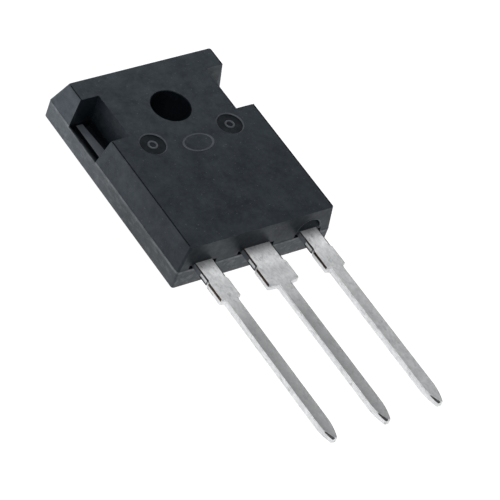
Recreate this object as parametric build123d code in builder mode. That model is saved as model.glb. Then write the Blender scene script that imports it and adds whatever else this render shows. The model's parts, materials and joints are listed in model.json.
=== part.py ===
from build123d import *
import os

os.makedirs("parts", exist_ok=True)

# Origin: screw-hole axis at the back (mounting) face. +Z leaves the front face, the leads run to -Y.

# ---- moulded housing ----
body_width = 15.8
body_length = 21.0
body_height = 4.75
hole_to_top = 6.15           # screw-hole axis to the top end of the body
parting_height = 2.0         # upright lower walls end here, drafted upper walls begin
side_draft = 0.5             # how far each side wall leans in over the upper half
top_draft = 1.1              # the same for the wall at the top end
lead_end_draft = 0.05        # the same for the wall the leads leave
corner_radius = 0.15
base_chamfer = 0.1
screw_hole_diameter = 3.6
screw_hole_lead_in = 0.1     # chamfer at the front mouth of the screw hole

# ---- side pockets ----
pocket_floor_length = 4.45
pocket_mouth_length = 5.05
pocket_floor_y = 0.62        # middle of the pocket at its floor
pocket_mouth_y = 0.47        # middle of the pocket at the front face
pocket_depth = 2.34          # side of the body to the pocket's inner wall, at the front face
pocket_wall_draft = 0.06
pocket_rim = 0.2             # outer wall left standing beside the pocket
pocket_rib_width = 1.0       # lengthwise rib left standing on the pocket floor
pocket_rib_gap = 0.5         # trench between the outer rim and the rib
pocket_rib_drop = 0.3        # top of the outer rim down to the top of the rib

# ---- marks in the front face ----
ejector_diameter = 2.3
ejector_depth = 0.15
ejector_spacing = 8.0
ejector_y = -3.43
ejector_ring_outer = 1.0
ejector_ring_inner = 0.5
ejector_ring_height = 0.12
oval_width = 3.1
oval_height = 2.05
oval_y = -4.48
oval_line = 0.18
oval_depth = 0.05

# ---- leads ----
lead_pitch = 5.44
lead_plane = 2.0             # mounting face to the underside of the leads
lead_thickness = 0.6
lead_length = 19.95          # housing wall to lead tip
lead_width = 1.2
outer_root_width = 1.7
centre_root_width = 2.7
outer_shoulder_width = 2.0
centre_shoulder_width = 3.1
shoulder_start = 2.0         # housing wall to the cut dam bar
shoulder_slope = 0.3
shoulder_end = 4.25          # housing wall to the step down to the lead width
shoulder_step = 0.12
tip_taper = 2.2
tip_width = 0.4
tip_bulge = 0.12             # how far each tapered flank swells past a straight taper

# ---- slot beside each lead root, where the mould closes round the lead ----
root_slot_width = 0.4        # past the root, at each side
root_slot_height = 0.45
root_slot_depth = 0.35

# ---- arched recess over the emitter lead, where the moulding runner broke off ----
runner_radius = 1.15
runner_slope = 0.7           # how fast the back leans in with height
runner_foot = 0.05           # depth at the top face of the lead
runner_flare = 0.15          # width of the shallow flare round the arch
runner_flare_depth = 0.08

# ---- collector header ----
pad_to_side = 1.25           # side of the body to the bare pad
pad_to_top = 1.15            # top end of the body to the bare pad
pad_to_lead_end = 2.9        # lead end of the body to the bare pad
pad_corner = 0.8
header_thickness = 1.9
lip_thickness = 1.0          # upper layer that overhangs and locks into the moulding
lip_overhang = 0.3
header_hole_diameter = 4.6
back_ring_diameter = 7.2
back_ring_depth = 0.8
pocket_cover = 0.4           # moulding kept between a pocket and the header
joggle_length = 0.9

# ---- bonding posts ----
post_gap = 0.4               # header lip to the bonding posts
post_depth = 1.3
gate_post_width = 3.6
post_to_side = 0.95          # side of the body to both posts
post_to_neck = 0.7           # neck of the centre lead to the emitter post

# ---- dies ----
die_thickness = 0.2
solder_thickness = 0.06
solder_margin = 0.15
transistor_die_width = 6.4
transistor_die_length = 7.2
diode_die_width = 3.4
diode_die_length = 5.0
die_gap = 1.3                # between the two dies

# ---- bond wires ----
power_wire_diameter = 0.4
gate_wire_diameter = 0.2
wire_foot = 2.0              # bonded foot length, in wire diameters
wire_foot_spread = 1.3       # bonded foot width, in wire diameters
wire_bend = 2.0              # bend radius beside each foot, in wire diameters
wire_crown_share = 0.35      # crown of the loop, as a share of the span from the die
wire_crown_radius = 0.2      # bend radius at the crown, as a share of the span
power_wire_loop = 1.2        # crown of the loop over the bonding posts
gate_wire_loop = 0.8
emitter_wire_spacing = 1.6   # between the pair's bonds on the transistor die
diode_wire_spacing = 1.1     # between the pair's bonds on the diode die
emitter_wire_offset_x = 1.6  # middle of the transistor die to the emitter wires' first bonds
emitter_wire_offset_y = 0.8
post_bond_margin = 0.75      # edge of the emitter post to the nearest of its four bonds
gate_pad_inset = 0.8         # gate pad from the die's left and lead-end edges

# ---- derived ----
top_end = hole_to_top
lead_end = hole_to_top - body_length
lead_top = lead_plane + lead_thickness
pad_top = top_end - pad_to_top
pad_end = lead_end + pad_to_lead_end
pad_width = body_width - 2 * pad_to_side
pad_length = pad_top - pad_end
pad_middle = (pad_top + pad_end) / 2
post_start = pad_end - lip_overhang - post_gap
post_middle = post_start - post_depth / 2
post_outer_x = body_width / 2 - post_to_side
emitter_post_inner_x = centre_root_width / 2 + post_to_neck
die_y = (pad_end - header_hole_diameter / 2) / 2
transistor_die_x = -(die_gap + diode_die_width) / 2
diode_die_x = (die_gap + transistor_die_width) / 2
die_seat = header_thickness + solder_thickness
die_top = die_seat + die_thickness
pocket_wall_x = body_width / 2 - pocket_depth
rib_outer_x = body_width / 2 - pocket_rim - pocket_rib_gap
pocket_floor_x = pocket_wall_x + pocket_wall_draft
pocket_rib_top = parting_height - pocket_rib_drop
lip_seat = header_thickness - lip_thickness
pocket_trench_floor = lip_seat + pocket_cover


def lead_sketch(root_width, shoulder_width, start):
    """Plan outline of one lead on its own axis, from start down to the tip."""
    root, shoulder = root_width / 2, shoulder_width / 2
    half, tip = lead_width / 2, tip_width / 2
    dam = lead_end - shoulder_start
    neck = lead_end - shoulder_end
    taper = lead_end - lead_length + tip_taper
    end = lead_end - lead_length
    with BuildSketch() as outline:
        with BuildLine():
            Line((0, start), (root, start))
            Line((root, start), (root, dam))
            Line((root, dam), (shoulder, dam - shoulder_slope))
            Line((shoulder, dam - shoulder_slope), (shoulder, neck))
            Line((shoulder, neck), (half, neck - shoulder_step))
            Line((half, neck - shoulder_step), (half, taper))
            swell = (half + tip) / 2 + tip_bulge
            ThreePointArc((half, taper), (swell, (taper + end) / 2), (tip, end))
            Line((tip, end), (0, end))
            mirror(about=Plane.YZ)
        make_face()
    return outline.sketch


def bond_wire(start, finish, diameter, crown):
    """Eight-sided wire looped between two (x, y, z) bonding spots, with a flattened foot on each."""
    first, last = Vector(*start), Vector(*finish)
    span = Vector(last.X - first.X, last.Y - first.Y, 0)
    reach, rise = span.length, last.Z - first.Z
    radius, foot = diameter / 2, wire_foot * diameter
    side = Plane(origin=first, x_dir=span, z_dir=Vector(span.Y, -span.X, 0))
    with BuildPart() as wire:
        with BuildLine(side):
            FilletPolyline(
                (-foot / 2, radius),
                (foot, radius),
                (reach * wire_crown_share, crown - first.Z),
                (reach - foot, rise + radius),
                (reach + foot / 2, rise + radius),
                radius=(wire_bend * diameter, reach * wire_crown_radius, wire_bend * diameter),
            )
        wire_end = side.from_local_coords((-foot / 2, radius, 0))
        with BuildSketch(Plane(origin=wire_end, x_dir=(0, 0, 1), z_dir=span)):
            # eight flats, turned so that one of them lies down
            RegularPolygon(radius, 8, major_radius=False, rotation=180 / 8)
        sweep()
        for spot in (first, last):
            with BuildSketch(Plane(origin=spot, x_dir=span, z_dir=(0, 0, 1))) as pressed:
                Rectangle(foot + diameter, wire_foot_spread * diameter)
                chamfer(pressed.vertices(), length=radius / 2)
            extrude(amount=radius)
    return wire.part


def arch_sketch(plane, radius):
    """Half-round outline standing on the lead's top face."""
    with BuildSketch(plane) as outline:
        with BuildLine():
            CenterArc((0, lead_top), radius, 0, 180)
            Line((-radius, lead_top), (radius, lead_top))
        make_face()
    return outline.sketch


def runner_recess():
    """Half-round recess on the lead's own axis, leaning in towards its crown, with a shallow flare."""
    crown = lead_top + runner_radius
    depth = runner_foot + runner_slope * runner_radius
    wall = Plane.XZ.offset(-lead_end)
    mouth = arch_sketch(wall, runner_radius + runner_flare)
    throat = arch_sketch(wall.offset(-runner_flare_depth), runner_radius)
    with BuildPart() as recess:
        with BuildSketch(Plane.YZ):
            with BuildLine():
                Polyline(
                    (lead_end, lead_top),
                    (lead_end + runner_foot, lead_top),
                    (lead_end + depth, crown),
                    (lead_end, crown),
                    close=True,
                )
            make_face()
        extrude(amount=runner_radius, both=True)
        extrude(arch_sketch(wall, runner_radius), amount=-depth, mode=Mode.INTERSECT)
        loft([mouth, throat])
    return recess.part


def side_pocket():
    """Pocket on the +X side: drafted above the parting line, trenched each side of a rib below it."""
    past_wall = body_width / 2
    with BuildPart() as pocket:
        with BuildSketch(Plane.XY.offset(parting_height)):
            with Locations((pocket_floor_x, pocket_floor_y)):
                Rectangle(past_wall, pocket_floor_length, align=(Align.MIN, Align.CENTER))
        with BuildSketch(Plane.XY.offset(body_height)):
            with Locations((pocket_wall_x, pocket_mouth_y)):
                Rectangle(past_wall, pocket_mouth_length, align=(Align.MIN, Align.CENTER))
        loft()
        with BuildSketch(Plane.XY.offset(pocket_trench_floor)):
            with Locations((pocket_floor_x, pocket_floor_y)):
                trench_width = body_width / 2 - pocket_rim - pocket_floor_x
                Rectangle(trench_width, pocket_floor_length, align=(Align.MIN, Align.CENTER))
        extrude(amount=parting_height - pocket_trench_floor)
        # the rib stands in the trench
        with BuildSketch(Plane.XY.offset(pocket_trench_floor)):
            with Locations((rib_outer_x, pocket_floor_y)):
                Rectangle(pocket_rib_width, pocket_floor_length, align=(Align.MAX, Align.CENTER))
        extrude(amount=pocket_rib_top - pocket_trench_floor, mode=Mode.SUBTRACT)
    return pocket.part


# ---- collector header with the centre lead ----
with BuildPart() as header:
    with BuildSketch() as pad:
        with Locations((0, pad_middle)):
            Rectangle(pad_width, pad_length)
        chamfer(pad.vertices().group_by(Axis.Y)[-1], length=pad_corner)
    extrude(amount=lip_seat)
    with BuildSketch(Plane.XY.offset(lip_seat)):
        offset(pad.sketch, amount=lip_overhang, kind=Kind.INTERSECTION)
    extrude(amount=lip_thickness)
    # the upper layer is notched at the sides to clear the housing's pockets
    with BuildSketch(Plane.XY.offset(lip_seat)):
        notch_x = pocket_wall_x - pocket_cover
        notch_length = pocket_mouth_length + 2 * pocket_cover
        with Locations((notch_x, pocket_mouth_y)):
            Rectangle(pad_width, notch_length, align=(Align.MIN, Align.CENTER))
        with Locations((-notch_x, pocket_mouth_y)):
            Rectangle(pad_width, notch_length, align=(Align.MAX, Align.CENTER))
    extrude(amount=lip_thickness, mode=Mode.SUBTRACT)
    # clearance hole, counterbored at the back for the moulded ring
    with BuildSketch():
        Circle(header_hole_diameter / 2)
    extrude(amount=header_thickness, mode=Mode.SUBTRACT)
    with BuildSketch():
        Circle(back_ring_diameter / 2)
    extrude(amount=back_ring_depth, mode=Mode.SUBTRACT)
    # joggled neck that lifts the centre lead to the lead plane
    with BuildSketch(Plane.YZ):
        with BuildLine():
            Polyline(
                (pad_end, header_thickness - lead_thickness),
                (pad_end - lip_overhang, header_thickness - lead_thickness),
                (pad_end - lip_overhang - joggle_length, lead_plane),
                (lead_end, lead_plane),
                (lead_end, lead_top),
                (pad_end - lip_overhang - joggle_length, lead_top),
                (pad_end - lip_overhang, header_thickness),
                (pad_end, header_thickness),
                close=True,
            )
        make_face()
    extrude(amount=centre_root_width / 2, both=True)
    with BuildSketch(Plane.XY.offset(lead_plane)):
        add(lead_sketch(centre_root_width, centre_shoulder_width, lead_end))
    extrude(amount=lead_thickness)

# ---- outer leads, each with its bonding post ----
with BuildPart() as gate_lead:
    with BuildSketch(Plane.XY.offset(lead_plane)):
        with Locations((-lead_pitch, 0)):
            add(lead_sketch(outer_root_width, outer_shoulder_width, post_middle))
        with Locations((-post_outer_x, post_start)):
            Rectangle(gate_post_width, post_depth, align=(Align.MIN, Align.MAX))
    extrude(amount=lead_thickness)

with BuildPart() as emitter_lead:
    with BuildSketch(Plane.XY.offset(lead_plane)):
        with Locations((lead_pitch, 0)):
            add(lead_sketch(outer_root_width, outer_shoulder_width, post_middle))
        with Locations((post_outer_x, post_start)):
            Rectangle(post_outer_x - emitter_post_inner_x, post_depth, align=(Align.MAX, Align.MAX))
    extrude(amount=lead_thickness)

# ---- dies on their solder ----
with BuildPart() as transistor_solder:
    with BuildSketch(Plane.XY.offset(header_thickness)):
        with Locations((transistor_die_x, die_y)):
            Rectangle(transistor_die_width + 2 * solder_margin, transistor_die_length + 2 * solder_margin)
    extrude(amount=solder_thickness)

with BuildPart() as transistor_die:
    with BuildSketch(Plane.XY.offset(die_seat)):
        with Locations((transistor_die_x, die_y)):
            Rectangle(transistor_die_width, transistor_die_length)
    extrude(amount=die_thickness)

with BuildPart() as diode_solder:
    with BuildSketch(Plane.XY.offset(header_thickness)):
        with Locations((diode_die_x, die_y)):
            Rectangle(diode_die_width + 2 * solder_margin, diode_die_length + 2 * solder_margin)
    extrude(amount=solder_thickness)

with BuildPart() as diode_die:
    with BuildSketch(Plane.XY.offset(die_seat)):
        with Locations((diode_die_x, die_y)):
            Rectangle(diode_die_width, diode_die_length)
    extrude(amount=die_thickness)

# ---- bond wires ----
gate_pad_x = transistor_die_x - transistor_die_width / 2 + gate_pad_inset
gate_pad_y = die_y - transistor_die_length / 2 + gate_pad_inset
emitter_wire_die_x = transistor_die_x + emitter_wire_offset_x
emitter_wire_die_y = die_y + emitter_wire_offset_y
first_bond_x = emitter_post_inner_x + post_bond_margin
bond_pitch = (post_outer_x - post_bond_margin - first_bond_x) / 3
gate_crown = lead_top + gate_wire_loop
power_crown = lead_top + power_wire_loop

with BuildPart() as gate_wire:
    add(
        bond_wire(
            (gate_pad_x, gate_pad_y, die_top),
            (-lead_pitch, post_middle, lead_top),
            gate_wire_diameter,
            gate_crown,
        )
    )

with BuildPart() as emitter_wire_inner:
    add(
        bond_wire(
            (emitter_wire_die_x - emitter_wire_spacing / 2, emitter_wire_die_y, die_top),
            (first_bond_x, post_middle, lead_top),
            power_wire_diameter,
            power_crown,
        )
    )

with BuildPart() as emitter_wire_outer:
    add(
        bond_wire(
            (emitter_wire_die_x + emitter_wire_spacing / 2, emitter_wire_die_y, die_top),
            (first_bond_x + bond_pitch, post_middle, lead_top),
            power_wire_diameter,
            power_crown,
        )
    )

with BuildPart() as diode_wire_inner:
    add(
        bond_wire(
            (diode_die_x - diode_wire_spacing / 2, die_y, die_top),
            (first_bond_x + 2 * bond_pitch, post_middle, lead_top),
            power_wire_diameter,
            power_crown,
        )
    )

with BuildPart() as diode_wire_outer:
    add(
        bond_wire(
            (diode_die_x + diode_wire_spacing / 2, die_y, die_top),
            (first_bond_x + 3 * bond_pitch, post_middle, lead_top),
            power_wire_diameter,
            power_crown,
        )
    )

embedded = {
    "collector_header": header,
    "gate_lead": gate_lead,
    "emitter_lead": emitter_lead,
    "transistor_solder": transistor_solder,
    "transistor_die": transistor_die,
    "diode_solder": diode_solder,
    "diode_die": diode_die,
    "gate_wire": gate_wire,
    "emitter_wire_inner": emitter_wire_inner,
    "emitter_wire_outer": emitter_wire_outer,
    "diode_wire_inner": diode_wire_inner,
    "diode_wire_outer": diode_wire_outer,
}

# ---- moulded housing, closed round everything above ----
with BuildPart() as housing:
    middle = (top_end + lead_end) / 2
    with BuildSketch():
        with Locations((0, middle)):
            RectangleRounded(body_width, body_length, corner_radius)
    extrude(amount=parting_height)
    chamfer(faces().sort_by(Axis.Z)[0].edges(), length=base_chamfer)
    with BuildSketch(Plane.XY.offset(parting_height)):
        with Locations((0, middle)):
            RectangleRounded(body_width, body_length, corner_radius)
    with BuildSketch(Plane.XY.offset(body_height)):
        with Locations((0, middle + (lead_end_draft - top_draft) / 2)):
            front_length = body_length - top_draft - lead_end_draft
            RectangleRounded(body_width - 2 * side_draft, front_length, corner_radius)
    loft()
    # screw hole
    with BuildSketch():
        Circle(screw_hole_diameter / 2)
    extrude(amount=body_height, mode=Mode.SUBTRACT)
    rims = edges().filter_by(GeomType.CIRCLE)
    mouth = rims.filter_by(lambda edge: edge.radius == screw_hole_diameter / 2).sort_by(Axis.Z)[-1]
    chamfer(mouth, length=screw_hole_lead_in)
    # side pockets
    add(side_pocket(), mode=Mode.SUBTRACT)
    add(mirror(side_pocket(), about=Plane.YZ, mode=Mode.PRIVATE), mode=Mode.SUBTRACT)
    # ejector recesses, each with a small raised ring on its floor
    with BuildSketch(Plane.XY.offset(body_height)):
        with Locations((-ejector_spacing / 2, ejector_y), (ejector_spacing / 2, ejector_y)):
            Circle(ejector_diameter / 2)
    extrude(amount=-ejector_depth, mode=Mode.SUBTRACT)
    with BuildSketch(Plane.XY.offset(body_height - ejector_depth)):
        with Locations((-ejector_spacing / 2, ejector_y), (ejector_spacing / 2, ejector_y)):
            Circle(ejector_ring_outer / 2)
            Circle(ejector_ring_inner / 2, mode=Mode.SUBTRACT)
    extrude(amount=ejector_ring_height)
    # plain oval line between them
    with BuildSketch(Plane.XY.offset(body_height)):
        with Locations((0, oval_y)):
            Ellipse(oval_width / 2, oval_height / 2)
            Ellipse(oval_width / 2 - oval_line, oval_height / 2 - oval_line, mode=Mode.SUBTRACT)
    extrude(amount=-oval_depth, mode=Mode.SUBTRACT)
    # slots beside the lead roots
    with BuildSketch(Plane.XY.offset(lead_plane)):
        slots = ((-lead_pitch, outer_root_width), (0, centre_root_width), (lead_pitch, outer_root_width))
        for axis, root_width in slots:
            slot_width = root_width + 2 * root_slot_width
            with Locations((axis, lead_end)):
                Rectangle(slot_width, root_slot_depth, align=(Align.CENTER, Align.MIN))
    extrude(amount=root_slot_height, mode=Mode.SUBTRACT)
    # arched recess over the emitter lead
    with Locations((lead_pitch, 0, 0)):
        add(runner_recess(), mode=Mode.SUBTRACT)
    for piece in embedded.values():
        add(piece.part, mode=Mode.SUBTRACT)

for name, piece in {"housing": housing, **embedded}.items():
    piece.part.label = name
    export_step(piece.part, f"parts/{name}.step")
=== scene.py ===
import json
import math

import bmesh
import bpy
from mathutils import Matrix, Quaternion, Vector


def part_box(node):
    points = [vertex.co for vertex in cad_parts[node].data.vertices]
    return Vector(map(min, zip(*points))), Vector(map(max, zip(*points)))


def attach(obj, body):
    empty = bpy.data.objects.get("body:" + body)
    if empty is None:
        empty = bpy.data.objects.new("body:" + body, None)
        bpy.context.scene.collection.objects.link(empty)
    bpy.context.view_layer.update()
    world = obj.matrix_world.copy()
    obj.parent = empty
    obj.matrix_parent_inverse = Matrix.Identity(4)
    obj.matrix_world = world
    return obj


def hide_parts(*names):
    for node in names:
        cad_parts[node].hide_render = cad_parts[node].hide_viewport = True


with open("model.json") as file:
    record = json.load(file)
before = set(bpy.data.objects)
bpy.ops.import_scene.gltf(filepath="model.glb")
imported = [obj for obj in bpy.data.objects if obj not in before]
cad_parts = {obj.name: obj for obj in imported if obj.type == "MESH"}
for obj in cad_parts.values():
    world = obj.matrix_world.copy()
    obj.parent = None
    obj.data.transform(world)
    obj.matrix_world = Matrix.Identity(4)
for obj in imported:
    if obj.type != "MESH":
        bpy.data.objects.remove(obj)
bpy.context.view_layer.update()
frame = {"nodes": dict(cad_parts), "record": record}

# ---- places read from the frame, in metres ----
mm = 0.001
body_low, body_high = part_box("housing")
body_width = body_high.x - body_low.x
body_length = body_high.y - body_low.y
body_height = body_high.z
lead_end = body_low.y
top_end = body_high.y
lead_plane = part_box("gate_lead")[0].z
lead_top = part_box("gate_lead")[1].z
mounts = {mount["name"]: mount for mount in frame["record"]["mounts"]}
screw_hole_radius = mounts["screw_hole"]["dims"]["r_mm"] * mm
gate_axis = mounts["gate_pin"]["pos_m"][0]
collector_axis = mounts["collector_pin"]["pos_m"][0]
emitter_axis = mounts["emitter_pin"]["pos_m"][0]

# ---- moulded body ----
parting_height = 2.0 * mm
mould_mismatch = 0.015 * mm     # ledge between the two mould halves
side_draft = 0.5 * mm
top_draft = 1.1 * mm
lead_end_draft = 0.05 * mm
corner_radius = 0.22 * mm
base_chamfer = 0.1 * mm
hole_mouth_radius = 0.05 * mm
edge_radius = 0.04 * mm
bar_sides = 96                  # facets round the screw hole, the ejector marks and the runner recess
ring_sides = 48
oval_sides = 96
line_sides = 12                 # facets round a raised or sunk line itself

# ---- side pockets ----
pocket_depth = 2.34 * mm
pocket_wall_draft = 0.06 * mm
pocket_floor_length = 4.45 * mm
pocket_mouth_length = 5.05 * mm
pocket_floor_y = 0.62 * mm
pocket_mouth_y = 0.47 * mm
pocket_rim = 0.2 * mm
pocket_rim_drop = 0.2 * mm
pocket_rib_width = 1.0 * mm
pocket_rib_gap = 0.6 * mm
pocket_rib_top = 1.7 * mm
pocket_trench_floor = 1.3 * mm
pocket_trench_flare = 0.35 * mm  # how much the inner trench widens towards the top end

# ---- marks in the front face ----
ejector_radius = 1.15 * mm
ejector_depth = 0.15 * mm
ejector_rim = 0.1 * mm
ejector_spacing = 8.0 * mm
ejector_y = -3.43 * mm
ejector_ring_radius = 0.375 * mm
ejector_ring_line = 0.2 * mm
oval_width = 3.1 * mm
oval_height = 2.05 * mm
oval_y = -4.48 * mm
oval_line = 0.26 * mm
oval_line_lift = 0.25 * oval_line   # middle of that line above the front face
witness_line = 0.09 * mm        # line the mould insert leaves inside each long edge of the front face
witness_depth = 0.07 * mm
witness_inset = 0.03 * mm
witness_end = 0.3 * mm          # how far the line stops short of the wall at each end

# ---- slots beside the lead roots ----
outer_root_width = 1.7 * mm
centre_root_width = 2.7 * mm
roots = (
    (gate_axis, outer_root_width),
    (collector_axis, centre_root_width),
    (emitter_axis, outer_root_width),
)
root_slot_width = 0.52 * mm
root_slot_height = 0.45 * mm
root_slot_depth = 0.35 * mm

# ---- arched recess over the emitter lead, where the moulding runner broke off ----
runner_radius = 1.15 * mm
runner_slope = 0.7              # how fast the back leans in with height
runner_foot = 0.05 * mm         # depth at the top face of the lead
runner_flare = 0.2 * mm
runner_flare_depth = 0.08 * mm

# ---- resin flash on the sides of the lead roots, and painted shade round the cut dam bar ----
flash_thickness = 0.05 * mm
shade_frame_line = 0.07 * mm          # width of the dark frame round the cut dam bar: painted shade
flash_film_end = 0.95 * mm      # housing wall to the end of the whole film
flash_end = 2.0 * mm            # housing wall to the far end of the frame
flash_below = 0.03 * mm         # clear of the underside of the lead
flash_above = 0.04 * mm         # clear of its top face
flash_overlap = 0.02 * mm       # sunk into the lead and into the moulding

# ---- leads ----
lead_edge_radius = 0.07 * mm
shoulder_start = 2.0 * mm       # housing wall to the cut dam bar
shoulder_end = 4.4 * mm         # housing wall to the thin length
shear_width = 0.11 * mm         # burr left where the dam bar was cut
tip_cut_side = -0.02 * mm       # where the slanted cut starts on the top face, from the lead's axis
tip_cut_back = 0.02 * mm        # the same from the tip
tip_cut_facing = (-0.62, -0.28, 0.733)
tip_cut_reach = 1.1 * mm        # the cut shows nowhere further from the tip
tip_cut_match = 0.99            # how well a face's normal fits that cut
rolled_flat = 0.95              # share of a normal along Z for a rolled face
rounded_up = 0.2                # share along Z, and along X, for the rounded or sheared edge above a flank
end_turned = 0.3                # share along Y from which a face belongs to the end of a step

# ---- how the tools pick and cut ----
smooth_angle = math.radians(35)
sharp_angle = math.radians(30)
squarely = 0.9                  # share of a normal along an axis for a face to face that way
close_by = 0.01 * mm
slice_slack = 0.0001 * mm
weld_slack = 0.0005 * mm
overlap = 0.1 * mm              # how far a cutter reaches into room that is already open
past_wall = 1 * mm              # how far a cutter reaches out past the side walls
past_front = 0.5 * mm           # the same past the front face


# ================ modelling, as by hand ================


def deselect_all():
    bpy.ops.object.select_all(action="DESELECT")


def pick_piece(piece):
    """Pick this piece and no other."""
    deselect_all()
    piece.select_set(True)
    bpy.context.view_layer.objects.active = piece


def open_piece(piece, kind="FACE", everything=False):
    """Open one piece in edit mode with nothing in it picked, or everything."""
    pick_piece(piece)
    bpy.ops.object.mode_set(mode="EDIT")
    bpy.ops.mesh.select_mode(type=kind)
    bpy.ops.mesh.select_all(action="SELECT" if everything else "DESELECT")


def close_piece():
    bpy.ops.object.mode_set(mode="OBJECT")
    deselect_all()


def pick_faces(piece, wanted):
    """Pick the faces of the open piece for which wanted(face) is true."""
    mesh = bmesh.from_edit_mesh(piece.data)
    mesh.normal_update()
    for face in mesh.faces:
        face.select_set(bool(wanted(face)))
    bmesh.update_edit_mesh(piece.data)


def pick_edges(piece, wanted):
    """Pick the edges of the open piece for which wanted(edge) is true."""
    mesh = bmesh.from_edit_mesh(piece.data)
    mesh.normal_update()
    for edge in mesh.edges:
        edge.select_set(bool(wanted(edge)))
    bmesh.update_edit_mesh(piece.data)


def middle_of(edge):
    return (edge.verts[0].co + edge.verts[1].co) / 2


def is_sharp(edge):
    return edge.is_manifold and edge.calc_face_angle(0.0) > sharp_angle


def settle(piece, name, material):
    """Put a new primitive's place into its mesh, and give it its name and first material."""
    bpy.ops.object.transform_apply(location=True, rotation=True, scale=True)
    piece.name = name
    piece.data.materials.append(material)
    return piece


def new_block(name, low, high):
    """Block between two corners."""
    deselect_all()
    low, high = Vector(low), Vector(high)
    bpy.ops.mesh.primitive_cube_add(size=1, location=(low + high) / 2, scale=high - low)
    return settle(bpy.context.object, name, moulding_matt)


def new_bar(name, centre, radius, length, end_radius=None, along_y=False):
    """Round bar along Z or Y, straight or tapered."""
    deselect_all()
    bpy.ops.mesh.primitive_cone_add(
        vertices=bar_sides,
        radius1=radius,
        radius2=radius if end_radius is None else end_radius,
        depth=length,
        location=centre,
        rotation=(math.pi / 2 if along_y else 0, 0, 0),
    )
    return settle(bpy.context.object, name, moulding_matt)


def new_ring(name, centre, radius, line, sides, squash=1.0):
    """Round line in a circle level with the front face, squashed along Y into an oval where asked."""
    deselect_all()
    bpy.ops.mesh.primitive_torus_add(
        location=centre,
        major_radius=radius,
        minor_radius=line / 2,
        major_segments=sides,
        minor_segments=line_sides,
    )
    ring = bpy.context.object
    ring.scale = (1, squash, 1)
    # pale moulding: a painted highlight on an ejector ring, the pale line of the cavity oval
    return settle(ring, name, moulding_mark)


def keep_above(bar, height):
    """Slice the bar level at height and keep what is above."""
    open_piece(bar, everything=True)
    bpy.ops.mesh.bisect(
        plane_co=(0, 0, height), plane_no=(0, 0, 1), use_fill=True, clear_inner=True, threshold=slice_slack
    )
    close_piece()


def combine(piece, tool, how="DIFFERENCE"):
    """Cut the tool out of the piece, or melt it on, and throw the tool away."""
    pick_piece(piece)
    change = piece.modifiers.new("combine", "BOOLEAN")
    change.operation = how
    change.solver = "EXACT"
    change.material_mode = "TRANSFER"
    change.object = tool
    bpy.ops.object.modifier_apply(modifier=change.name)
    bpy.data.objects.remove(tool)
    deselect_all()


def merged_copy(node, name):
    """Own copy of a CAD node with its loose triangles merged into clean faces."""
    source = frame["nodes"][node]
    copy = bpy.data.objects.new(name, source.data.copy())
    bpy.context.scene.collection.objects.link(copy)
    copy.data.materials.clear()
    open_piece(copy, "VERT", everything=True)
    bpy.ops.mesh.customdata_custom_splitnormals_clear()
    bpy.ops.mesh.remove_doubles(threshold=weld_slack)
    bpy.ops.mesh.dissolve_limited(angle_limit=math.radians(0.5))
    close_piece()
    return copy


def mirror_x(piece):
    """Mirror a piece to the other side of the body, with its faces still outwards."""
    pick_piece(piece)
    piece.scale.x = -1
    bpy.ops.object.transform_apply(location=False, rotation=False, scale=True)
    open_piece(piece, everything=True)
    bpy.ops.mesh.normals_make_consistent(inside=False)
    close_piece()


def soften(piece, wanted, radius, segments=2):
    """Round the picked edges of a piece."""
    open_piece(piece, "EDGE")
    pick_edges(piece, wanted)
    bpy.ops.mesh.bevel(offset=radius, segments=segments, affect="EDGES", clamp_overlap=True)
    close_piece()


def shade_piece(piece):
    """Smooth the piece by angle, its flat faces kept even."""
    pick_piece(piece)
    bpy.ops.object.shade_smooth_by_angle(angle=smooth_angle)
    even = piece.modifiers.new("even_shading", "WEIGHTED_NORMAL")
    even.keep_sharp = True
    bpy.ops.object.modifier_apply(modifier=even.name)
    deselect_all()


# ================ finishes ================


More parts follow.
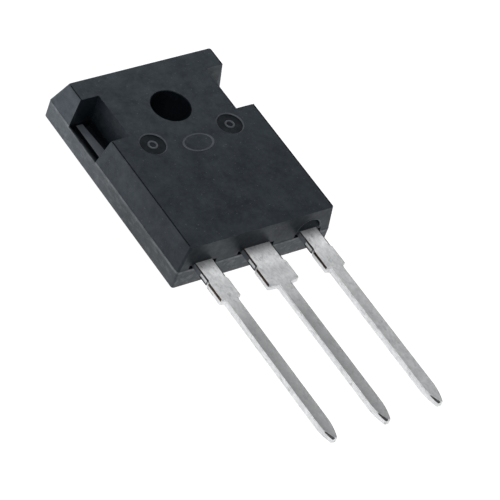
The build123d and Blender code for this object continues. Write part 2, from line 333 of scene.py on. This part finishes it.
class Finish:
    """One surface finish: a shader and the nodes that feed it, all placed in millimetres on the object."""

    def __init__(self, name):
        self.material = bpy.data.materials.new(name)
        self.material.use_nodes = True
        self.nodes = self.material.node_tree.nodes
        self.links = self.material.node_tree.links
        self.shader = self.nodes["Principled BSDF"]
        metres = self.nodes.new("ShaderNodeTexCoord")
        millimetres = self.nodes.new("ShaderNodeMapping")
        millimetres.inputs["Scale"].default_value = (1 / mm, 1 / mm, 1 / mm)
        self.links.new(metres.outputs["Object"], millimetres.inputs["Vector"])
        self.place = millimetres.outputs["Vector"]

    def put(self, socket, value):
        """Link a value into a socket, or set it there where it is the same all over."""
        if isinstance(value, (int, float)):
            socket.default_value = value
        elif isinstance(value, tuple):
            socket.default_value = (*value, 1)
        else:
            self.links.new(value, socket)

    def feed(self, socket, value):
        """The same for one of the shader's own sockets, by name."""
        self.put(self.shader.inputs[socket], value)

    def axis(self, letter):
        """Place along X, Y or Z."""
        split = self.nodes.new("ShaderNodeSeparateXYZ")
        self.links.new(self.place, split.inputs["Vector"])
        return split.outputs[letter]

    def noise(self, scale, detail=2.0, roughness=0.5, stretch=(1, 1, 1)):
        """Noise of scale bumps per millimetre, closer together along an axis where stretch is more."""
        mapping = self.nodes.new("ShaderNodeMapping")
        mapping.inputs["Scale"].default_value = stretch
        noise = self.nodes.new("ShaderNodeTexNoise")
        noise.inputs["Scale"].default_value = scale
        noise.inputs["Detail"].default_value = detail
        noise.inputs["Roughness"].default_value = roughness
        self.links.new(self.place, mapping.inputs["Vector"])
        self.links.new(mapping.outputs["Vector"], noise.inputs["Vector"])
        return noise.outputs["Fac"]

    def ramp(self, value, low, high, first=0.0, last=1.0):
        """Map value between low and high to first..last, and no further."""
        ramp = self.nodes.new("ShaderNodeMapRange")
        ramp.inputs["From Min"].default_value = low
        ramp.inputs["From Max"].default_value = high
        ramp.inputs["To Min"].default_value = first
        ramp.inputs["To Max"].default_value = last
        self.links.new(value, ramp.inputs["Value"])
        return ramp.outputs["Result"]

    def blend(self, share, first, second):
        """Go from the first colour to the second by share."""
        mix = self.nodes.new("ShaderNodeMix")
        mix.data_type = "RGBA"
        self.links.new(share, mix.inputs["Factor"])
        self.put(mix.inputs[6], first)
        self.put(mix.inputs[7], second)
        return mix.outputs[2]

    def reckon(self, how, first, second=0.0):
        """One sum on two values or numbers."""
        node = self.nodes.new("ShaderNodeMath")
        node.operation = how
        self.put(node.inputs[0], first)
        self.put(node.inputs[1], second)
        return node.outputs[0]

    def plus(self, first, second):
        return self.reckon("ADD", first, second)

    def times(self, first, second):
        return self.reckon("MULTIPLY", first, second)

    def away_from(self, value, centre):
        """Distance of a value from centre, either way."""
        return self.reckon("ABSOLUTE", self.reckon("SUBTRACT", value, centre))

    def bump(self, height, depth, strength):
        """Fine relief, from a height that runs over depth."""
        bump = self.nodes.new("ShaderNodeBump")
        bump.inputs["Strength"].default_value = strength
        bump.inputs["Distance"].default_value = depth
        self.links.new(height, bump.inputs["Height"])
        self.links.new(bump.outputs["Normal"], self.shader.inputs["Normal"])


filler_grey = (0.045, 0.048, 0.055)
# pale grey of wear, and of the painted highlight along the parting edge
wear_and_highlight_grey = (0.27, 0.28, 0.29)
cool_sheen = (0.71, 0.86, 1.0)


def moulding(name, dark, light, smoothest, roughest, dullest=0.35, shiniest=0.69):
    """Black epoxy moulding compound: fine matt tool finish, faint flow marks and pale filler grains."""
    finish = Finish(name)
    cloud = finish.noise(0.35, 3.0)
    mottle = finish.noise(2.2, 4.0, 0.6)
    grain = finish.noise(11.0, 2.0)
    tone = finish.plus(finish.times(cloud, 0.55), finish.times(mottle, 0.45))
    base = finish.blend(finish.ramp(tone, 0.32, 0.68), dark, light)
    filler = finish.ramp(finish.noise(5.0, 1.0), 0.7, 0.78)
    base = finish.blend(filler, base, filler_grey)
    # pale wear, with a painted highlight along the parting edge
    base = finish.blend(parting_wear_and_highlight(finish), base, wear_and_highlight_grey)
    finish.feed("Base Color", base)
    finish.feed("Roughness", finish.ramp(mottle, 0.3, 0.7, smoothest, roughest))
    broad = finish.times(finish.noise(0.45, 3.0, 0.6), 0.5)
    fine = finish.times(finish.noise(1.9, 5.0, 0.75), 0.5)
    shine = finish.ramp(finish.plus(broad, fine), 0.36, 0.64, dullest, shiniest)
    # its sheen rises towards the top end, and most of all on the long side walls, where it is a painted sheen
    rising_to_top_end = finish.ramp(finish.axis("Y"), -9.0, 6.0, 0.72, 1.18)
    front_edge = (body_width / 2 - side_draft) / mm
    on_side_wall = finish.ramp(finish.away_from(finish.axis("X"), 0.0), front_edge - 0.02, front_edge + 0.04)
    painted_side_sheen = finish.reckon("POWER", finish.ramp(finish.axis("Y"), -9.0, 3.0, 1.14, 1.7), on_side_wall)
    for share in (rising_to_top_end, painted_side_sheen):
        shine = finish.times(shine, share)
    finish.feed("Specular IOR Level", shine)
    finish.feed("Specular Tint", cool_sheen)
    finish.bump(grain, 0.006 * mm, 0.6)
    return finish.material


def parting_wear_and_highlight(finish):
    """Share of pale wear and painted highlight: along the edge where the two mould halves met, worn and with
    a painted highlight, and scuffed on the wall below it.
    """
    side_wall = body_width / 2 / mm
    end_wall = lead_end / mm
    parting = parting_height / mm
    at_sides = finish.ramp(finish.away_from(finish.axis("X"), 0.0), side_wall - 0.12, side_wall - 0.04)
    at_lead_end = finish.ramp(finish.axis("Y"), end_wall + 0.03, end_wall + 0.09, 1.0, 0.0)
    on_walls = finish.reckon("MAXIMUM", at_sides, at_lead_end)
    band = finish.ramp(finish.away_from(finish.axis("Z"), parting - 0.15), 0.05, 0.2, 1.0, 0.0)
    patches = finish.ramp(finish.noise(0.9, 4.0, 0.7), 0.4, 0.66, 0.04, 0.36)
    # band along the parting edge: wear, with a painted highlight
    edge = finish.times(finish.times(band, on_walls), patches)
    below = finish.ramp(finish.axis("Z"), parting - 0.02, parting + 0.02, 1.0, 0.0)
    scuffs = finish.ramp(finish.noise(1.6, 5.0, 0.7, (1, 0.7, 1.4)), 0.5, 0.72, 0.12, 0.44)
    by_length = finish.ramp(finish.axis("Y"), -13.5, -8.0, 0.9, 0.75)
    scuffs = finish.times(finish.times(scuffs, finish.times(below, on_walls)), by_length)
    return finish.plus(edge, scuffs)


def tin_plate(name, dark, light, smoothest=0.45, roughest=0.62, metal=1.0, dull=0.0):
    """Matt tin over copper strip: faint rolled streaks along the leads, cloudy patches, fine grain, and
    painted shade along the leads where asked.
    """
    finish = Finish(name)
    streaks = finish.noise(1.0, 4.0, 0.65, (5.0, 2.2, 5.0))
    cloud = finish.noise(1.1, 4.0, 0.65)
    grain = finish.noise(12.0, 3.0)
    tone = finish.plus(finish.times(streaks, 0.5), finish.times(cloud, 0.5))
    base = finish.blend(finish.ramp(tone, 0.39, 0.61), dark, light)
    smudge = finish.ramp(finish.noise(1.0, 4.0, 0.7, (2.2, 1.2, 2.2)), 0.57, 0.67, 0.0, 0.55)
    base = finish.blend(smudge, base, tuple(0.5 * value for value in dark))
    # painted shade: darker further out along the leads
    if dull > 0:
        base = finish.blend(painted_lead_shade(finish, dull), base, tuple(0.35 * value for value in dark))
    finish.feed("Base Color", base)
    finish.feed("Metallic", metal)
    finish.feed("Roughness", finish.ramp(grain, 0.3, 0.7, smoothest, roughest))
    finish.bump(grain, 0.004 * mm, 0.5)
    return finish.material


def painted_lead_shade(finish, dull):
    """Share of painted shade on rolled faces, in two steps: past the dam bar and along each thin length."""
    end_wall = lead_end / mm
    past_dam_bar = finish.ramp(finish.axis("Y"), end_wall - 2.95, end_wall - 1.55, 0.45 * dull, 0.0)
    along_thin_length = finish.ramp(finish.axis("Y"), end_wall - 7.65, end_wall - 3.75, 0.55 * dull, 0.0)
    # each thin length is darker along one side, and the emitter lead less so than the others
    pitch = (collector_axis - gate_axis) / mm
    across = finish.reckon("FLOORED_MODULO", finish.plus(finish.axis("X"), 1.5 * pitch), pitch)
    one_side = finish.ramp(across, pitch / 2 - 0.6, pitch / 2 + 0.5, 1.3, 0.85)
    by_lead = finish.ramp(finish.axis("X"), pitch / 2, pitch / 2 + 1, 1.0, 0.5)
    for share in (one_side, by_lead):
        along_thin_length = finish.times(along_thin_length, share)
    return finish.plus(past_dam_bar, along_thin_length)


moulding_matt = moulding("moulding_matt", (0.003, 0.0046, 0.0066), (0.006, 0.0085, 0.0122), 0.4, 0.52)
# darker, duller moulding: the ejector pin marks' own finish, and painted shade down in the pocket trenches
# and the screw hole's mouth
moulding_pin = moulding("moulding_pin", (0.002, 0.0025, 0.0035), (0.004, 0.005, 0.007), 0.5, 0.6, 0.12, 0.34)
# pale moulding: the cavity oval's line and the resin flash film, and painted highlight on the ejector rims
# and rings, the runner flare and the pocket rib tops
moulding_mark = moulding("moulding_mark", (0.06, 0.065, 0.075), (0.11, 0.118, 0.13), 0.5, 0.65)
tin = tin_plate("tin", (0.68, 0.69, 0.70), (0.88, 0.89, 0.90), metal=0.7)
rolled_tin = tin_plate("rolled_tin", (0.66, 0.67, 0.68), (0.95, 0.96, 0.97), metal=0.8, dull=0.76)
# dark tin: painted shade on the rounded edge along the +X side of each lead
worn_tin = tin_plate("worn_tin", (0.10, 0.10, 0.10), (0.40, 0.40, 0.40), metal=0.7, dull=0.5)
cut_copper = tin_plate("cut_copper", (0.03, 0.02, 0.015), (0.13, 0.085, 0.06), metal=0.5)
sheared_end = tin_plate("sheared_end", (0.03, 0.03, 0.03), (0.10, 0.10, 0.10), metal=0.5)
silicon = tin_plate("silicon", (0.22, 0.23, 0.26), (0.34, 0.35, 0.38), 0.25, 0.35)
solder = tin_plate("solder", (0.40, 0.40, 0.41), (0.55, 0.55, 0.56))
bond_aluminium = tin_plate("bond_aluminium", (0.70, 0.71, 0.73), (0.82, 0.83, 0.84), 0.25, 0.35)
slot_materials = {
    "moulding_compound": moulding_matt,
    "tinned_copper": tin,
    "silicon": silicon,
    "solder": solder,
    "bond_aluminium": bond_aluminium,
}


# ================ housing ================


def body_block():
    """Upright lower block and drafted upper block, corners and base rounded."""
    block = new_block("moulded_body", (body_low.x, lead_end, 0), (body_high.x, top_end, parting_height))

    def upright(edge):
        return abs(edge.verts[0].co.z - edge.verts[1].co.z) > parting_height / 2

    def at_base(edge):
        return max(vert.co.z for vert in edge.verts) < close_by

    soften(block, upright, corner_radius, 4)
    soften(block, at_base, base_chamfer, 1)
    open_piece(block)
    pick_faces(block, lambda face: face.normal.z > squarely)
    bpy.ops.mesh.inset(thickness=mould_mismatch)
    bpy.ops.mesh.extrude_region_move(TRANSFORM_OT_translate={"value": (0, 0, body_height - parting_height)})
    middle = (top_end + lead_end) / 2
    ratio = (
        (body_width - 2 * side_draft) / (body_width - 2 * mould_mismatch),
        (body_length - top_draft - lead_end_draft) / (body_length - 2 * mould_mismatch),
        1,
    )
    bpy.ops.transform.resize(value=ratio, center_override=(0, middle, body_height))
    bpy.ops.transform.translate(value=(0, (lead_end_draft - top_draft) / 2, 0))
    close_piece()
    return block


def pocket_cutter(side):
    """Drafted pocket above the parting line, on one side of the body."""
    inner = body_width / 2 - pocket_depth + pocket_wall_draft
    outer = body_width / 2 + past_wall
    low = (inner, pocket_floor_y - pocket_floor_length / 2, parting_height)
    high = (outer, pocket_floor_y + pocket_floor_length / 2, body_height)
    cutter = new_block("pocket_cutter", low, high)
    open_piece(cutter)
    pick_faces(cutter, lambda face: face.normal.z > squarely)
    ratio = (1 + pocket_wall_draft / (outer - inner), pocket_mouth_length / pocket_floor_length, 1)
    bpy.ops.transform.resize(value=ratio, center_override=(outer, pocket_floor_y, body_height))
    bpy.ops.transform.translate(value=(0, pocket_mouth_y - pocket_floor_y, 0))
    bpy.ops.mesh.extrude_region_move(TRANSFORM_OT_translate={"value": (0, 0, past_front)})
    close_piece()
    if side < 0:
        mirror_x(cutter)
    return cutter


def trench_cutters(side):
    """Space over the pocket's rib and over its lowered rim, then a trench at each side of the rib."""
    inner = body_width / 2 - pocket_depth + pocket_wall_draft
    rim = body_width / 2 - pocket_rim
    rib_outer = rim - pocket_rib_gap
    outer = body_width / 2 + past_wall
    rim_top = parting_height - pocket_rim_drop
    for start, end, floor, ceiling in (
        (inner, rim, pocket_rib_top, parting_height + 2 * overlap),
        (rim - overlap, outer, rim_top, parting_height + 3 * overlap),
        (inner, rib_outer - pocket_rib_width, pocket_trench_floor, pocket_rib_top + overlap),
        (rib_outer, rim, pocket_trench_floor, pocket_rib_top + overlap),
    ):
        low = (start, pocket_floor_y - pocket_floor_length / 2, floor)
        high = (end, pocket_floor_y + pocket_floor_length / 2, ceiling)
        cutter = new_block("trench_cutter", low, high)
        # faces these cutters leave take the darker moulding: painted shade in the pocket
        cutter.data.materials[0] = moulding_pin
        if start == inner and floor < pocket_rib_top:
            # this trench widens towards the top end
            open_piece(cutter)
            pick_faces(cutter, lambda face: face.normal.y > squarely)
            wider = 1 + pocket_trench_flare / (end - start)
            bpy.ops.transform.resize(value=(wider, 1, 1), center_override=(inner, 0, 0))
            close_piece()
        if side < 0:
            mirror_x(cutter)
        yield cutter


def slot_cutter(axis, root_width):
    """Slot past both sides of one lead root."""
    half = root_width / 2 + root_slot_width
    low = (axis - half, lead_end - 2 * overlap, lead_plane)
    high = (axis + half, lead_end + root_slot_depth, lead_plane + root_slot_height)
    return new_block("slot_cutter", low, high)


def rim_cutter(centre, radius, width, material):
    """Sloping rim round a hole in the front face."""
    rim = new_bar("rim_cutter", centre, radius, 2 * width, end_radius=radius + 2 * width)
    rim.data.materials[0] = material
    return rim


def witness_cutter(side):
    """Fine line just inside one long edge of the front face."""
    outer = side * (body_width / 2 - side_draft - witness_inset)
    inner = outer - side * witness_line
    low = (min(outer, inner), lead_end + witness_end, body_height - witness_depth)
    high = (max(outer, inner), top_end - top_draft - witness_end, body_height + overlap)
    return new_block("witness_cutter", low, high)


def flash_plate(axis, root_width, side):
    """Film of resin on one side of a lead root, then a thin dark frame round the cut dam bar: painted shade
    round the burr there.
    """
    bottom, top = lead_plane + flash_below, lead_top - flash_above
    inner = axis + side * (root_width / 2 - flash_overlap)
    outer = axis + side * (root_width / 2 + flash_thickness)
    left, right = min(inner, outer), max(inner, outer)
    film_end = lead_end - flash_film_end
    far_end = lead_end - flash_end
    in_slot = lead_end + root_slot_depth + flash_overlap
    plate = new_block("flash_plate", (left, far_end, bottom), (right, in_slot, top))
    open_piece(plate, everything=True)
    bpy.ops.mesh.bisect(plane_co=(0, film_end, 0), plane_no=(0, 1, 0), threshold=slice_slack)
    close_piece()
    plate.data.materials.append(moulding_mark)
    for face in plate.data.polygons:
        if face.center.y > film_end and abs(face.normal.x) > squarely:
            face.material_index = 1
    # the near-black frame left round this window is painted shade
    window_low = (left - overlap, far_end + shade_frame_line, bottom + shade_frame_line)
    window_high = (right + overlap, film_end, top - shade_frame_line)
    combine(plate, new_block("flash_window", window_low, window_high))
    return plate


def runner_cutters():
    """Half-round recess over the emitter lead: its back leans in to the crown, a shallow flare opens it."""
    before = 2 * overlap
    foot = (emitter_axis, lead_end, lead_top)
    arch = new_bar("runner_cutter", foot, runner_radius, 2 * before, along_y=True)
    keep_above(arch, lead_top)
    open_piece(arch)
    pick_faces(arch, lambda face: face.normal.y > squarely)
    lean = math.atan(runner_slope)
    pivot = (emitter_axis, lead_end + before, lead_top)
    bpy.ops.transform.rotate(value=lean, orient_axis="X", center_override=pivot)
    bpy.ops.transform.resize(value=(1, 1, 1 / math.cos(lean)), center_override=pivot)
    bpy.ops.transform.translate(value=(0, runner_foot - before, 0))
    close_piece()
    yield arch
    flare = new_bar(
        "flare_cutter",
        (emitter_axis, lead_end + runner_flare_depth / 2, lead_top),
        runner_radius,
        runner_flare_depth,
        end_radius=runner_radius + runner_flare,
        along_y=True,
    )
    # pale rim round the flare: painted highlight
    flare.data.materials[0] = moulding_mark
    keep_above(flare, lead_top)
    open_piece(flare)
    pick_faces(flare, lambda face: face.normal.y < -squarely)
    bpy.ops.mesh.extrude_region_move(TRANSFORM_OT_translate={"value": (0, -before, 0)})
    close_piece()
    yield flare


def paint_light_on_rib_tops(body):
    """Give the tops of the pocket ribs a paler moulding: painted light on the lit rib tops."""
    body.data.materials.append(moulding_mark)
    rib_outer = body_width / 2 - pocket_rim - pocket_rib_gap
    for face in body.data.polygons:
        across = abs(face.center.x)
        level = face.normal.z > squarely and abs(face.center.z - pocket_rib_top) < close_by
        if level and rib_outer - pocket_rib_width - overlap < across < rib_outer:
            face.material_index = len(body.data.materials) - 1


def make_housing():
    """Moulded body: the block, all that is cut from it or melted on, then seats for the pieces inside."""
    body = body_block()
    front_centre = (0, 0, body_height)
    combine(body, new_bar("hole_cutter", (0, 0, body_height / 2), screw_hole_radius, 2 * body_height))
    # the screw hole's mouth takes the darker moulding: painted shade
    combine(body, rim_cutter(front_centre, screw_hole_radius, hole_mouth_radius, moulding_pin))
    for side in (1, -1):
        combine(body, pocket_cutter(side))
        for cutter in trench_cutters(side):
            combine(body, cutter)
        mark = (side * ejector_spacing / 2, ejector_y, body_height)
        pin = new_bar("ejector_cutter", mark, ejector_radius, 2 * ejector_depth)
        pin.data.materials[0] = moulding_pin
        combine(body, pin)
        # pale sloping rim round each ejector mark: painted highlight
        combine(body, rim_cutter(mark, ejector_radius, ejector_rim, moulding_mark))

    def on_front(edge):
        return is_sharp(edge) and min(vert.co.z for vert in edge.verts) > body_height - close_by

    soften(body, on_front, edge_radius)
    for side in (1, -1):
        combine(body, witness_cutter(side))
    for axis, width in roots:
        combine(body, slot_cutter(axis, width))
    for cutter in runner_cutters():
        combine(body, cutter)
    for side in (1, -1):
        # pale raised ring in each ejector mark: painted highlight
        mark = (side * ejector_spacing / 2, ejector_y, body_height - ejector_depth)
        ring = new_ring("ejector_ring", mark, ejector_ring_radius, ejector_ring_line, ring_sides)
        combine(body, ring, "UNION")
    oval_centre = (0, oval_y, body_height + oval_line_lift)
    oval_radius = (oval_width - oval_line) / 2
    squash = oval_height / oval_width
    combine(body, new_ring("oval_cutter", oval_centre, oval_radius, oval_line, oval_sides, squash))
    for axis, width in roots:
        for side in (1, -1):
            combine(body, flash_plate(axis, width, side), "UNION")
    for node in sorted(frame["nodes"]):
        if node != "housing":
            seat = merged_copy(node, "seat_of_" + node)
            seat.data.materials.append(moulding_matt)
            combine(body, seat)
    paint_light_on_rib_tops(body)
    shade_piece(body)
    return body


# ================ leads ================


def make_lead(node, name, axis):
    """Plated lead frame piece: outer edges rolled round, dam bar sheared, tip cut on a slant."""
    lead = merged_copy(node, name)
    tip = min(vert.co.y for vert in lead.data.vertices)

    def sheared(edge):
        middle = middle_of(edge)
        beside = middle.x < axis - overlap and middle.z > lead_top - close_by
        dam_bar = lead_end - shoulder_end < middle.y < lead_end - shoulder_start
        return is_sharp(edge) and beside and dam_bar

    def rolled(edge):
        return middle_of(edge).y < lead_end and is_sharp(edge)

    soften(lead, sheared, shear_width, 1)
    soften(lead, rolled, lead_edge_radius)
    # the very end is cut on a slant, down towards one flank
    open_piece(lead, everything=True)
    bpy.ops.mesh.bisect(
        plane_co=(axis + tip_cut_side, tip + tip_cut_back, lead_top),
        plane_no=tip_cut_facing,
        use_fill=True,
        clear_outer=True,
        threshold=slice_slack,
    )
    close_piece()
    plate_lead(lead, tip)
    shade_piece(lead)
    return lead


def plate_lead(lead, tip):
    """Give each face its finish: rolled, with painted shade on the rounded edge along one side, coppery or
    dark where it was cut.
    """
    finishes = (tin, rolled_tin, worn_tin, cut_copper, sheared_end)
    for material in finishes:
        lead.data.materials.append(material)
    cut_facing = Vector(tip_cut_facing)
    for face in lead.data.polygons:
        out = lead_end - face.center.y
        on_edge = face.normal.z > rounded_up and abs(face.normal.y) < end_turned and out > 0
        on_cut = face.center.y < tip + tip_cut_reach and face.normal.dot(cut_facing) > tip_cut_match
        finish = tin
        if abs(face.normal.z) > rolled_flat:
            finish = rolled_tin
        elif on_cut:
            finish = sheared_end
        elif on_edge and face.normal.x < -rounded_up and out < shoulder_end:
            finish = cut_copper
        # rounded edge on the +X side: coppery by the root, painted shade beyond
        elif on_edge and face.normal.x > rounded_up:
            finish = cut_copper if out < shoulder_start else worn_tin
        face.material_index = finishes.index(finish)


housing = make_housing()
pieces = {
    "housing": housing,
    "collector_header": make_lead("collector_header", "collector_strip", collector_axis),
    "gate_lead": make_lead("gate_lead", "gate_strip", gate_axis),
    "emitter_lead": make_lead("emitter_lead", "emitter_strip", emitter_axis),
}
slots = {part["node"]: part["material_slot"] for part in frame["record"]["subparts"]}
for node, piece in pieces.items():
    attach(piece, "root")
    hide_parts(node)
for node, solid in frame["nodes"].items():
    solid.data.materials.clear()
    solid.data.materials.append(slot_materials[slots[node]])


# ================ studio ================

floor_size = 3.0
floor_drop = 0.02 * mm          # floor below the back of the part
paper_glow = 0.95
glow_full = 0.3 * mm            # inside the body's outline, where the paper stops glowing fully
glow_none = 1.3 * mm            # and where it doesn't glow at all
light_aim = Vector((0, -14 * mm, 0))
view_azimuth = math.radians(49.10)      # heading of the view, from +Y towards +X
view_elevation = math.radians(43.74)
view_roll = math.radians(22.05)
view_distance = 263.08 * mm
view_aim = Vector((-0.70 * mm, -14.95 * mm, body_height / 2))
view_lens = 227.7


def make_floor():
    """Pale paper, lit evenly from below except where the body covers it."""
    deselect_all()
    bpy.ops.mesh.primitive_plane_add(size=floor_size, location=(0, 0, -floor_drop))
    floor = bpy.context.object
    floor.name = "floor"
    paper = Finish("floor_paper")
    paper.feed("Base Color", paper.blend(paper.noise(0.01, 2.0), (0.19, 0.19, 0.19), (0.21, 0.21, 0.21)))
    paper.feed("Roughness", 0.9)
    paper.feed("Emission Color", (1, 1, 1))
    middle = (top_end + lead_end) / 2 / mm
    outside = []
    for letter, centre, half in (("X", 0.0, body_width / 2), ("Y", middle, body_length / 2)):
        away = paper.away_from(paper.axis(letter), centre)
        outside.append(paper.ramp(away, (half - glow_none) / mm, (half - glow_full) / mm))
    paper.feed("Emission Strength", paper.times(paper.reckon("MAXIMUM", *outside), paper_glow))
    floor.data.materials.append(paper.material)


def make_light(name, place, size, power):
    """Round soft light aimed at the part."""
    light = bpy.data.lights.new(name, "AREA")
    light.shape = "DISK"
    light.size = size
    light.energy = power
    lamp = bpy.data.objects.new(name, light)
    bpy.context.scene.collection.objects.link(lamp)
    lamp.location = place
    lamp.rotation_mode = "QUATERNION"
    lamp.rotation_quaternion = (light_aim - Vector(place)).to_track_quat("-Z", "Y")


def make_camera():
    """Camera on the line of view, rolled, with a long lens."""
    back = Vector(
        (
            -math.sin(view_azimuth) * math.cos(view_elevation),
            -math.cos(view_azimuth) * math.cos(view_elevation),
            math.sin(view_elevation),
        )
    )
    data = bpy.data.cameras.new("camera")
    data.lens = view_lens
    data.sensor_width = 36.0
    data.clip_start = 1 * mm
    camera = bpy.data.objects.new("camera", data)
    bpy.context.scene.collection.objects.link(camera)
    camera.location = view_aim + back * view_distance
    camera.rotation_mode = "QUATERNION"
    camera.rotation_quaternion = (-back).to_track_quat("-Z", "Y") @ Quaternion((0, 0, 1), view_roll)
    bpy.context.scene.camera = camera


make_floor()
make_light("key_softbox", (0.40, 0.34, 0.50), 0.9, 0.62)
make_light("fill_softbox", (-0.45, -0.2, 0.6), 0.6, 1.75)
make_light("top_softbox", (0.17, 0.20, 0.68), 0.45, 1.2)
world = bpy.data.worlds.new("studio")
world.use_nodes = True
world.node_tree.nodes["Background"].inputs["Color"].default_value = (1, 1, 1, 1)
world.node_tree.nodes["Background"].inputs["Strength"].default_value = 0.22
bpy.context.scene.world = world
bpy.context.scene.view_settings.view_transform = "Standard"
make_camera()
